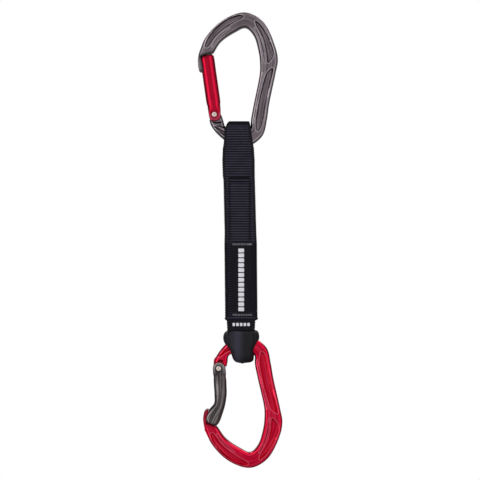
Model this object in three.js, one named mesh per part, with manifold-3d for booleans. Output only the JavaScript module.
// Climbing quickdraw: two keylock carabiners on a sewn nylon sling, 18 cm long.
//
// Millimetres. It hangs along -Z, +X is the spine side of both carabiners and Y is the thickness.
// The origin is the seat inside the top of the upper bow, where a bolt hanger bears.
// A carabiner is drawn in its own frame, bow up, with its seat at the origin; the lower one is
// turned over about X. A gate is drawn in its own frame too, with its rivet at the origin and its
// length along +Z.

import * as THREE from 'three';
import { mergeVertices } from 'three/addons/utils/BufferGeometryUtils.js';
import Module from 'manifold-3d';

const wasm = await Module();
wasm.setup();

// ---------------------------------------------------------------- driving dimensions

const GAP = 0.3;
const THROUGH = 40;

// Both carabiners
const BODY_THICKNESS = 9.6;
const BODY_ROUND = 2.4;
const POCKET_DEPTH = 1.7;
const TANG_THICKNESS = 3.8;
const TANG_HEIGHT = 3.5;
const NOSE_WEB_THICKNESS = 3;
const NOSE_BAR_THICKNESS = 8.4;
const GATE_THICKNESS = 10;
const GATE_END_RADIUS = 4.4;
const GATE_TRAVEL = THREE.MathUtils.degToRad(30);

// Rivet, plunger and spring of a gate
const RIVET_RADIUS = 1.5;
const RIVET_HEAD_RADIUS = 2.1;
const RIVET_HEAD_HEIGHT = 0.5;
const PLUNGER_RADIUS = 1.6;
const PLUNGER_LENGTH = 7;
const PLUNGER_OFFSET = 1.6;
const BORE_RADIUS = 2;
const BORE_END = 27;
const SPRING_RADIUS = 1.2;
const SPRING_WIRE_RADIUS = 0.3;
const SPRING_TURNS = 7;

// Sling
const TAPE_THICKNESS = 2.4;
const EYE_HALF_DEPTH = 8.4;
const EYE_LENGTH = 32;
const UPPER_EYE_TOP = -69.9;
const LOWER_EYE_BOTTOM = -248.6;
const CORE_TOP = -111.3;
const CORE_BOTTOM = -217.2;
const THREAD_HEIGHT = 0.5;
const LABEL_THICKNESS = 0.5;

// Placing of the lower carabiner, and its two differences from the upper one
const LOWER_SEAT = [3.45, 0, -318.3];
const LOWER_LENGTH_SHARE = 0.975;

// Facing outline points of the body, from the nose round the bow, spine and basket to the hinge:
// outer x, outer z, inner x, inner z.
const BODY_RAILS = [
  [-34.5, -20.6, -23.3, -18.8],
  [-28.7, -6.7, -17.5, -10.6],
  [-14.9, 6.8, -6.8, -3.2],
  [1.7, 11.9, 1.1, -0.1],
  [14.8, 3.9, 6.7, -6.1],
  [23.5, -14.2, 10.7, -18.5],
  [25.3, -24.3, 11.7, -26.2],
  [23.8, -33.7, 11.6, -34.4],
  [18.7, -57.7, 6.9, -56.9],
  [16.8, -68.9, 5, -68.2],
  [14, -80.2, 4.3, -74.6],
  [5.5, -87.7, 0.4, -77.2],
  [-2.9, -88.8, -5.2, -77.4],
  [-12.6, -86.2, -12, -77.2],
  [-20.5, -79.6, -15.4, -74.6],
  [-25.1, -72.8, -16, -69.4],
  [-26.6, -66.3, -16.1, -64.3],
];

// Pockets in each face, as stretches of the rails: from, to, and the share of the width taken.
const POCKETS = [
  [0.7, 2.75, 0.44],
  [3.55, 6.3, 0.46],
  [6.75, 10.1, 0.44],
];

// The crossbar of the T-shaped nose, outside the gate, and the web that carries it: x, z, radius.
const NOSE_BAR = [
  [-32.9, -16.5, 1.2],
  [-35.1, -25, 12],
  [-34.6, -32.9, 1.2],
  [-32.3, -32.3, 1],
  [-32.3, -24, 6],
  [-31, -16.5, 1.2],
];
const NOSE_WEB = [
  [-33.5, -31.2, 0.5],
  [-29.2, -30.6, 1],
  [-27.6, -17.5, 0.5],
  [-33, -17.5, 0.5],
];

// Gate outlines in the gate's own frame: x, z, radius of the corner.
const STRAIGHT_GATE = [
  [4.6, -4.3, 4.1],
  [5.4, 7, 14],
  [5.4, 46.6, 1.2],
  [-5.6, 43.9, 1.2],
  [-5.4, 9.6, 4],
  [-4.4, 6.4, 4],
  [-4.4, -4.3, 4.1],
];
const BENT_GATE = [
  [4.8, -4.1, 3.9],
  [5.9, 17, 30],
  [4.4, 30.5, 14],
  [-1.3, 43.1, 1.2],
  [-10.3, 40.3, 2],
  [-10.7, 35.4, 3],
  [-6.2, 29.6, 4],
  [-3.2, 26.6, 5],
  [-3.9, 12, 30],
  [-4.2, -4.1, 3.9],
];

// Each gate is a round bar along a line of x, z points, trimmed to its outline.
const UPPER = {
  share: 1,
  rivet: [-22.3, -65.3],
  tilt: THREE.MathUtils.degToRad(-8),
  gate: STRAIGHT_GATE,
  barLine: [[0, -8], [0, 50]],
  barRadius: 5.7,
};
const LOWER = {
  share: LOWER_LENGTH_SHARE,
  rivet: [-22.5, -63.4],
  tilt: 0,
  gate: BENT_GATE,
  barLine: [[0.3, -8], [0.9, 8], [1, 20], [-0.6, 29], [-5.2, 37], [-10, 44]],
  barRadius: 5.4,
};

// Edges of the sling seen from the front: z, x of the middle, half width.
const SLING_EDGES = [
  [-69.9, -5.4, 6.4],
  [-71.2, -5.2, 8],
  [-72.8, -5.2, 8.9],
  [-75, -5.1, 9.2],
  [-78, -4.7, 10.2],
  [-87, -4.3, 11.1],
  [-91, -4.3, 11.8],
  [-100, -4.2, 12.3],
  [-111.2, -4, 12.2],
  [-114, -3.7, 12],
  [-154, -2.7, 12.1],
  [-162, -2.6, 12.4],
  [-214.8, -2.1, 12.3],
  [-217.3, -2, 12.3],
  [-221.5, -2.1, 11],
  [-228, -2.2, 10.6],
  [-236, -2, 9.6],
  [-241, -1.8, 8],
  [-246, -1.8, 6],
  [-248.6, -1.8, 4.6],
];

// Rubber keeper seen from the front (x, z, radius) and from the side (half depth, z).
const KEEPER_FRONT = [
  [-12.6, -227.2, 1.5],
  [10.4, -227.2, 1.5],
  [11.7, -231.5, 2],
  [9.9, -236.4, 2],
  [7.4, -239.8, 2],
  [7.3, -249.5, 2.4],
  [-1.6, -251, 8],
  [-6.9, -250.3, 2],
  [-10.6, -241.8, 3],
  [-14.8, -237, 2],
  [-15.9, -233, 2],
  [-15, -228.8, 1.5],
];
const KEEPER_SIDE = [
  [7.6, -227.2],
  [9, -231.5],
  [10, -239],
  [9.5, -243.5],
  [7.4, -248],
  [4, -250.4],
  [0, -251],
];

// ---------------------------------------------------------------- finishes

const finish = (color, roughness, metalness) =>
  new THREE.MeshStandardMaterial({ color, roughness, metalness });

const GREY_ANODISED = finish(0x706d70, 0.4, 0.9);
const RED_ANODISED = finish(0xb41430, 0.35, 0.85);
const STEEL = finish(0xc6b3b3, 0.3, 1);
const NYLON = finish(0x292732, 0.95, 0);
const THREAD = finish(0x17161c, 0.9, 0);
const LIGHT_THREAD = finish(0xa9a6ad, 0.9, 0);
const LABEL_SATIN = finish(0x191820, 0.6, 0);
const RUBBER = finish(0x312d38, 0.6, 0);

// ---------------------------------------------------------------- solids

function toSolid(geometry) {
  const bare = geometry.clone();
  bare.deleteAttribute('normal');
  bare.deleteAttribute('uv');
  const merged = mergeVertices(bare, 1e-4);
  const mesh = new wasm.Mesh({
    numProp: 3,
    vertProperties: new Float32Array(merged.attributes.position.array),
    triVerts: new Uint32Array(merged.index.array),
  });
  return new wasm.Manifold(mesh);
}

function toGeometry(solid) {
  const mesh = solid.getMesh();
  const geometry = new THREE.BufferGeometry();
  geometry.setAttribute('position', new THREE.BufferAttribute(mesh.vertProperties, 3));
  geometry.setIndex(new THREE.BufferAttribute(mesh.triVerts, 1));
  geometry.computeVertexNormals();
  return geometry;
}

// An outline through corners given as [x, z, radius].
function roundedShape(corners) {
  const shape = new THREE.Shape();
  corners.forEach(([x, z, radius], index) => {
    const corner = new THREE.Vector2(x, z);
    const before = new THREE.Vector2(...corners.at(index - 1));
    const after = new THREE.Vector2(...corners[(index + 1) % corners.length]);
    const reach = (end) => Math.min(radius, corner.distanceTo(end) * 0.48);
    const start = corner.clone().lerp(before, reach(before) / corner.distanceTo(before));
    const stop = corner.clone().lerp(after, reach(after) / corner.distanceTo(after));
    if (index === 0) shape.moveTo(start.x, start.y);
    else shape.lineTo(start.x, start.y);
    shape.quadraticCurveTo(x, z, stop.x, stop.y);
  });
  shape.closePath();
  return shape;
}

// A plate with its outline in XZ, centred on y = middle, with rounded rims.
function plate(shape, thickness, { round = 0, middle = 0, segments = 2, curveSegments = 4 } = {}) {
  const depth = thickness - 2 * round;
  const geometry = new THREE.ExtrudeGeometry(shape, {
    depth,
    curveSegments,
    bevelEnabled: round > 0,
    bevelThickness: round,
    bevelSize: round,
    bevelOffset: -round,
    bevelSegments: segments,
  });
  geometry.translate(0, 0, -depth / 2);
  geometry.rotateX(Math.PI / 2);
  geometry.translate(0, middle, 0);
  return geometry;
}

// A rod along Y.
function crossRod(radius, length, sides = 20) {
  return new THREE.CylinderGeometry(radius, radius, length, sides);
}

// ---------------------------------------------------------------- carabiner body

function railCurves(share, grow) {
  const outer = new THREE.CatmullRomCurve3(
    BODY_RAILS.map(([x, z]) => new THREE.Vector3(x, 0, z * share)),
  );
  const inner = new THREE.CatmullRomCurve3(
    BODY_RAILS.map(([, , x, z]) => new THREE.Vector3(x, 0, z * share)),
  );
  const last = BODY_RAILS.length - 1;
  // The point at a station of the rails, at a share of the way from the outer to the inner edge.
  return (station, across) => {
    const from = outer.getPoint(station / last);
    const to = inner.getPoint(station / last);
    const spread = 1 + (2 * grow) / from.distanceTo(to);
    return from.lerp(to, 0.5 + (across - 0.5) * spread);
  };
}

// The body's outline. Points close to its four end corners are left out, so that a rounded rim
// doesn't fold over itself there.
function bodyShape(share, grow) {
  const at = railCurves(share, grow);
  const last = BODY_RAILS.length - 1;
  const edge = (steps, across) => Array.from({ length: steps + 1 }, (_, step) => {
    const point = at((last * step) / steps, across);
    return new THREE.Vector2(point.x, point.z);
  });
  const trimmed = (points) => points.filter((point, index) => {
    const isEnd = index === 0 || index === points.length - 1;
    const nearest = Math.min(point.distanceTo(points[0]), point.distanceTo(points.at(-1)));
    return isEnd || nearest > 1.5 * BODY_ROUND;
  });
  return new THREE.Shape([...trimmed(edge(46, 0)), ...trimmed(edge(34, 1)).reverse()]);
}

// A pocket's outline: parallel to the rails, with blunt ends.
function pocketShape(share, [from, to, width]) {
  const at = railCurves(share, 0);
  const steps = 10;
  const half = (step) => {
    const along = Math.abs((2 * step) / steps - 1);
    return 0.5 * width * Math.sqrt(1 - along ** 7);
  };
  const points = [];
  for (let step = 0; step < steps; step += 1) {
    const point = at(from + ((to - from) * step) / steps, 0.5 - half(step));
    points.push(new THREE.Vector2(point.x, point.z));
  }
  for (let step = steps; step > 0; step -= 1) {
    const point = at(from + ((to - from) * step) / steps, 0.5 + half(step));
    points.push(new THREE.Vector2(point.x, point.z));
  }
  return new THREE.Shape(points);
}

// The room that a gate takes from shut to fully open, in the carabiner's frame.
function gateSweep(spec) {
  const clearance = plate(roundedShape(spec.gate), THROUGH);
  clearance.scale(1.08, 1, 1.01);
  const round = crossRod(GATE_END_RADIUS + GAP + 0.1, THROUGH, 28);
  let sweep = toSolid(round.translate(spec.rivet[0], 0, spec.rivet[1]));
  const stops = 4;
  for (let stop = 0; stop <= stops; stop += 1) {
    const turned = clearance.clone();
    turned.rotateY(spec.tilt + (GATE_TRAVEL * stop) / stops);
    turned.translate(spec.rivet[0], 0, spec.rivet[1]);
    sweep = sweep.add(toSolid(turned));
  }
  return sweep;
}

// The thin tang of the body inside the gate's fork, with the flat that the plunger presses on.
function tangShape(spec) {
  const shape = roundedShape([
    [4.2, TANG_HEIGHT, 0.8],
    [-2.8, TANG_HEIGHT, 1.6],
    [-3.9, 0, 2],
    [-3.6, -8, 1],
    [6.5, -8, 1],
    [5, -1, 2],
  ]);
  const tang = plate(shape, TANG_THICKNESS);
  tang.rotateY(spec.tilt);
  tang.translate(spec.rivet[0], 0, spec.rivet[1]);
  return toSolid(tang);
}

function carabinerBody(spec) {
  const { share, rivet } = spec;
  const lengthwise = ([x, z, radius]) => [x, z * share, radius];
  let body = toSolid(plate(bodyShape(share, 0), BODY_THICKNESS, { round: BODY_ROUND }));
  body = body.subtract(gateSweep(spec));
  const noseBar = roundedShape(NOSE_BAR.map(lengthwise));
  body = body.add(toSolid(plate(noseBar, NOSE_BAR_THICKNESS)));
  body = body.add(toSolid(plate(roundedShape(NOSE_WEB.map(lengthwise)), NOSE_WEB_THICKNESS)));
  body = body.add(tangShape(spec));
  for (const pocket of POCKETS) {
    const shape = pocketShape(share, pocket);
    const middle = BODY_THICKNESS / 2;
    body = body.subtract(toSolid(plate(shape, 2 * POCKET_DEPTH, { middle })));
    body = body.subtract(toSolid(plate(shape, 2 * POCKET_DEPTH, { middle: -middle })));
  }
  const hole = crossRod(RIVET_RADIUS + GAP, THROUGH, 16).translate(rivet[0], 0, rivet[1]);
  return toGeometry(body.subtract(toSolid(hole)));
}

// ---------------------------------------------------------------- gate and what it holds

// The nose of the body with some room round it, in the gate's frame.
function noseRoom(spec) {
  const lengthwise = ([x, z, radius]) => [x, z * spec.share, radius];
  const grown = 2 * GAP;
  const bar = plate(roundedShape(NOSE_BAR.map(lengthwise)), THROUGH);
  const web = plate(roundedShape(NOSE_WEB.map(lengthwise)), NOSE_WEB_THICKNESS + grown);
  let room = null;
  for (const [x, z] of [[0, 0], [GAP, 0], [GAP, -GAP], [0, -GAP], [0, 4], [-4, 0]]) {
    for (const piece of [bar, web]) {
      const moved = toSolid(piece.clone().translate(x, 0, z));
      room = room ? room.add(moved) : moved;
    }
  }
  const turned = toGeometry(room);
  turned.translate(-spec.rivet[0], 0, -spec.rivet[1]);
  turned.rotateY(-spec.tilt);
  return toSolid(turned);
}

function gateBar(spec) {
  const section = new THREE.Shape();
  section.absarc(0, 0, spec.barRadius, 0, 2 * Math.PI);
  const line = new THREE.CatmullRomCurve3(spec.barLine.map(([x, z]) => new THREE.Vector3(x, 0, z)));
  const bar = new THREE.ExtrudeGeometry(section, {
    steps: 3 * (spec.barLine.length - 1),
    curveSegments: 8,
    extrudePath: line,
  });
  bar.scale(1, GATE_THICKNESS / (2 * spec.barRadius), 1);
  let gate = toSolid(bar).intersect(toSolid(plate(roundedShape(spec.gate), THROUGH)));
  const fork = new THREE.BoxGeometry(THROUGH, TANG_THICKNESS + 2 * GAP, 20);
  gate = gate.subtract(toSolid(fork.translate(0, 0, -1.6)));
  const bore = new THREE.CylinderGeometry(BORE_RADIUS, BORE_RADIUS, BORE_END - 6, 16);
  bore.rotateX(Math.PI / 2);
  bore.translate(PLUNGER_OFFSET, 0, (BORE_END + 6) / 2);
  gate = gate.subtract(toSolid(bore));
  gate = gate.subtract(toSolid(crossRod(RIVET_RADIUS + GAP, THROUGH, 16)));
  return toGeometry(gate.subtract(noseRoom(spec)));
}

function turnedAboutY(profile, sides) {
  const points = profile.map(([radius, along]) => new THREE.Vector2(radius, along));
  return new THREE.LatheGeometry(points, sides);
}

function rivet() {
  const seat = GATE_THICKNESS / 2 + GAP;
  const crown = seat + RIVET_HEAD_HEIGHT;
  const half = [
    [RIVET_RADIUS, seat],
    [RIVET_HEAD_RADIUS, seat],
    [RIVET_HEAD_RADIUS * 0.95, seat + RIVET_HEAD_HEIGHT * 0.6],
    [RIVET_HEAD_RADIUS * 0.6, crown],
    [0, crown],
  ];
  const other = half.map(([radius, along]) => [radius, -along]).reverse();
  return turnedAboutY([...other, ...half], 16);
}

function plunger() {
  const tip = TANG_HEIGHT + GAP;
  const end = tip + PLUNGER_LENGTH;
  const profile = [
    [0, tip],
    [PLUNGER_RADIUS * 0.7, tip + PLUNGER_RADIUS * 0.29],
    [PLUNGER_RADIUS, tip + PLUNGER_RADIUS],
    [PLUNGER_RADIUS, end],
    [0, end],
  ];
  const pin = turnedAboutY(profile, 14);
  pin.rotateX(Math.PI / 2);
  return pin.translate(PLUNGER_OFFSET, 0, 0);
}

class Helix extends THREE.Curve {
  getPoint(share, target = new THREE.Vector3()) {
    const from = TANG_HEIGHT + GAP + PLUNGER_LENGTH + 2 * GAP;
    const to = BORE_END - 2 * GAP;
    const angle = 2 * Math.PI * SPRING_TURNS * share;
    const height = from + (to - from) * share;
    return target.set(SPRING_RADIUS * Math.cos(angle), SPRING_RADIUS * Math.sin(angle), height);
  }
}

function coilSpring() {
  const wire = new THREE.Shape();
  wire.absarc(0, 0, SPRING_WIRE_RADIUS, 0, 2 * Math.PI);
  const coil = new THREE.ExtrudeGeometry(wire, {
    steps: SPRING_TURNS * 8,
    curveSegments: 3,
    extrudePath: new Helix(),
  });
  return coil.translate(PLUNGER_OFFSET, 0, 0);
}

// ---------------------------------------------------------------- sling

// The middle and half width of the sling at a height.
function slingAt(z) {
  const below = SLING_EDGES.findIndex(([height]) => height <= z);
  const [z1, middle1, half1] = SLING_EDGES[below];
  const [z0, middle0, half0] = SLING_EDGES[Math.max(below - 1, 0)];
  const share = z0 === z1 ? 0 : (z0 - z) / (z0 - z1);
  return {
    middle: THREE.MathUtils.lerp(middle0, middle1, share),
    half: THREE.MathUtils.lerp(half0, half1, share),
  };
}

// The sling from one height to another, seen from the front.
function slingFront(top, bottom) {
  const inside = SLING_EDGES.map(([z]) => z).filter((z) => z < top && z > bottom);
  const heights = [top, ...inside, bottom];
  const right = heights.map((z) => [slingAt(z).middle + slingAt(z).half, z]);
  const left = heights.map((z) => [slingAt(z).middle - slingAt(z).half, z]).reverse();
  return new THREE.Shape([...right, ...left].map(([x, z]) => new THREE.Vector2(x, z)));
}

// Half the depth of an eye, from its round end (0) to where the two legs meet (1).
function eyeHalfDepth(share) {
  const eased = THREE.MathUtils.smoothstep(share, 0, 1);
  return THREE.MathUtils.lerp(EYE_HALF_DEPTH, TAPE_THICKNESS, eased);
}

// An eye's outline in side view, with its crown at z = 0; grow moves it outwards.
function eyeSide(grow) {
  const right = [];
  const arcSteps = 8;
  for (let step = 0; step < arcSteps; step += 1) {
    const angle = (Math.PI / 2) * (step / arcSteps);
    const radius = EYE_HALF_DEPTH + grow;
    right.push([radius * Math.sin(angle), -EYE_HALF_DEPTH + radius * Math.cos(angle)]);
  }
  const legSteps = 10;
  for (let step = 0; step <= legSteps; step += 1) {
    const share = step / legSteps;
    const half = eyeHalfDepth(share) + grow;
    if (half > 0.2) right.push([half, -EYE_HALF_DEPTH - EYE_LENGTH * share]);
  }
  const left = right.slice(1).map(([y, z]) => [-y, z]).reverse();
  return new THREE.Shape([...right, ...left].map(([y, z]) => new THREE.Vector2(y, z)));
}

// A side view in YZ, swept across the whole width.
function acrossWidth(shape) {
  const geometry = new THREE.ExtrudeGeometry(shape, { depth: 2 * THROUGH, bevelEnabled: false });
  geometry.translate(0, 0, -THROUGH);
  geometry.rotateX(Math.PI / 2);
  geometry.rotateZ(Math.PI / 2);
  return geometry;
}

// The band of tape that makes an eye, crown up at z = 0, the whole width of space.
function eyeBand() {
  const outside = toSolid(acrossWidth(eyeSide(0)));
  return outside.subtract(toSolid(acrossWidth(eyeSide(-TAPE_THICKNESS))));
}

// A solid drawn crown up at z = 0, turned over to the place of the lower eye.
function atLowerEye(geometry) {
  const turned = geometry.clone();
  turned.rotateX(Math.PI);
  return toSolid(turned.translate(0, 0, LOWER_EYE_BOTTOM));
}

function upperEye() {
  const band = toGeometry(eyeBand()).translate(0, 0, UPPER_EYE_TOP);
  const front = plate(slingFront(UPPER_EYE_TOP, CORE_TOP + GAP), THROUGH);
  return toGeometry(toSolid(band).intersect(toSolid(front)));
}

function lowerEye() {
  const front = plate(slingFront(CORE_BOTTOM - GAP, LOWER_EYE_BOTTOM), THROUGH);
  return toGeometry(atLowerEye(toGeometry(eyeBand())).intersect(toSolid(front)));
}

function core() {
  return plate(slingFront(CORE_TOP, CORE_BOTTOM), 2 * TAPE_THICKNESS);
}

// A sewn row: one thread that swells at each stitch, from one point to another on a face.
function stitchRow([x0, z0], [x1, z1], face, side) {
  const length = Math.hypot(x1 - x0, z1 - z0);
  const pitch = 3.2;
  const count = Math.round(length / pitch);
  const edge = [[0, 0.15]];
  for (let stitch = 0; stitch < count; stitch += 1) {
    edge.push([(stitch + 0.5) / count, 0.35]);
    edge.push([(stitch + 1) / count, 0.15]);
  }
  const across = new THREE.Vector2(-(z1 - z0) / length, (x1 - x0) / length);
  const point = (share, offset) => new THREE.Vector2(
    x0 + (x1 - x0) * share + across.x * offset,
    z0 + (z1 - z0) * share + across.y * offset,
  );
  const there = edge.map(([share, half]) => point(share, -half));
  const back = edge.map(([share, half]) => point(share, half)).reverse();
  const middle = side * (face + GAP + THREAD_HEIGHT / 2);
  return plate(new THREE.Shape([...there, ...back]), THREAD_HEIGHT, { middle });
}

function label(front, face) {
  const middle = -(face + GAP + LABEL_THICKNESS / 2);
  return plate(roundedShape(front), LABEL_THICKNESS, { middle });
}

// The short label follows the swelling tape under it.
function shortLabel() {
  const front = toSolid(plate(roundedShape([
    [-11.4, -217.9, 0.6],
    [7.3, -217.9, 0.6],
    [6.9, -226.7, 0.6],
    [-10.9, -226.7, 0.6],
  ]), THROUGH, { middle: -THROUGH / 2 }));
  const outside = atLowerEye(acrossWidth(eyeSide(GAP + LABEL_THICKNESS)));
  const inside = atLowerEye(acrossWidth(eyeSide(GAP)));
  return toGeometry(outside.subtract(inside).intersect(front));
}

function keeper() {
  const front = toSolid(plate(roundedShape(KEEPER_FRONT), THROUGH));
  const mirrored = KEEPER_SIDE.slice(0, -1).map(([y, z]) => [-y, z]).reverse();
  const outline = [...KEEPER_SIDE, ...mirrored].map(([y, z]) => new THREE.Vector2(y, z));
  const side = toSolid(acrossWidth(new THREE.Shape(outline)));
  const room = plate(slingFront(CORE_BOTTOM, LOWER_EYE_BOTTOM), THROUGH);
  room.scale(1.03, 1, 1);
  room.translate(0, 0, -GAP);
  const tape = atLowerEye(acrossWidth(eyeSide(GAP))).intersect(toSolid(room));
  const bar = plate(bodyShape(LOWER.share, GAP), BODY_THICKNESS + 2 * GAP, {
    round: BODY_ROUND,
  });
  bar.rotateX(Math.PI);
  bar.translate(...LOWER_SEAT);
  return toGeometry(front.intersect(side).subtract(tape).subtract(toSolid(bar)));
}

// ---------------------------------------------------------------- assembly

const group = new THREE.Group();

function addPart(parent, name, geometry, material) {
  const mesh = new THREE.Mesh(geometry, material);
  mesh.name = name;
  parent.add(mesh);
}

function addCarabiner(prefix, spec, bodyFinish, gateFinish) {
  const carabiner = new THREE.Group();
  group.add(carabiner);
  addPart(carabiner, `${prefix}_body`, carabinerBody(spec), bodyFinish);
  const hinge = new THREE.Group();
  hinge.position.set(spec.rivet[0], 0, spec.rivet[1]);
  hinge.rotation.y = spec.tilt;
  carabiner.add(hinge);
  addPart(hinge, `${prefix}_gate`, gateBar(spec), gateFinish);
  addPart(hinge, `${prefix}_rivet`, rivet(), STEEL);
  addPart(hinge, `${prefix}_plunger`, plunger(), STEEL);
  addPart(hinge, `${prefix}_gate_spring`, coilSpring(), STEEL);
  return carabiner;
}

addCarabiner('upper', UPPER, GREY_ANODISED, RED_ANODISED);
const lower = addCarabiner('lower', LOWER, RED_ANODISED, GREY_ANODISED);
lower.rotation.x = Math.PI;
lower.position.set(...LOWER_SEAT);

addPart(group, 'webbing_upper_eye', upperEye(), NYLON);
addPart(group, 'webbing_core', core(), NYLON);
addPart(group, 'webbing_lower_eye', lowerEye(), NYLON);
addPart(group, 'rubber_keeper', keeper(), RUBBER);

for (const [place, side] of [['front', -1], ['back', 1]]) {
  const face = TAPE_THICKNESS;
  const sew = (name, from, to) =>
    addPart(group, `${name}_${place}`, stitchRow(from, to, face, side), THREAD);
  sew('bar_stitch_upper', [-11.8, -112.4], [4.2, -112.4]);
  sew('bar_stitch_lower', [-10, -115.4], [2.6, -115.4]);
  sew('side_seam_left', [-11.4, -114], [-10.4, -159.5]);
  sew('side_seam_right', [4.1, -114], [4.6, -159.5]);
}

const LABEL = [[-10, -160.9, 0.6], [6.6, -160.9, 0.6], [6.8, -216.4, 0.6], [-9.5, -216.4, 0.6]];
addPart(group, 'sling_label', label(LABEL, TAPE_THICKNESS), LABEL_SATIN);
const labelFace = TAPE_THICKNESS + GAP + LABEL_THICKNESS;
addPart(group, 'label_seam_top', stitchRow([-9, -162.2], [5.8, -162.2], labelFace, -1), LIGHT_THREAD);
addPart(
  group,
  'label_seam_bottom',
  stitchRow([-8.7, -215], [6, -215], labelFace, -1),
  LIGHT_THREAD,
);
addPart(group, 'short_label', shortLabel(), LABEL_SATIN);

export default group;
